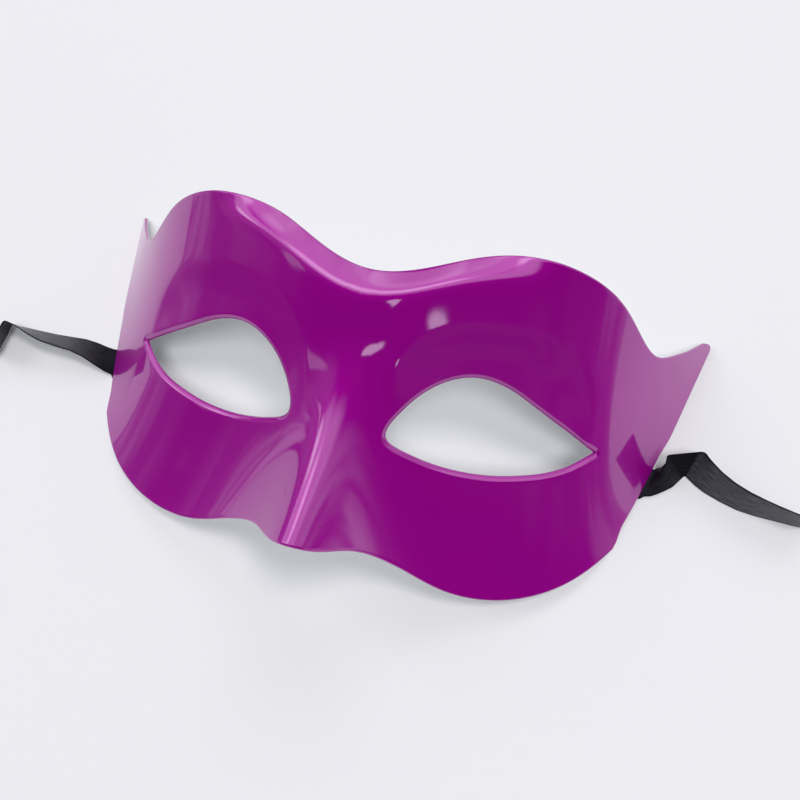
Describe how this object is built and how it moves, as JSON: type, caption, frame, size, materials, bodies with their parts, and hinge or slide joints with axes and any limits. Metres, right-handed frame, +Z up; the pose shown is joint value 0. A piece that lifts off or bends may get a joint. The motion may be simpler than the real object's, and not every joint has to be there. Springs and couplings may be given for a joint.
{
  "type": "half mask",
  "caption": "Glossy moulded half mask for the upper face, with shaped eye openings, a ridged nose and a satin ribbon at each temple.",
  "frame": {"origin": "on the surface that the mask lies on, under the middle of the moulded shell", "axes": "+X across the mask from temple to temple, +Y towards the brow, +Z up, out of the face as the mask lies face up"},
  "size_m": [0.2301, 0.091, 0.0487],
  "materials": {
    "purple_plastic": "high gloss",
    "black_satin": "satin with fine lengthwise ribs"
  },
  "bodies": {
    "root": {"mask_shell": "purple_plastic", "ribbon_right": "black_satin", "ribbon_left": "black_satin"}
  },
  "joints": []
}
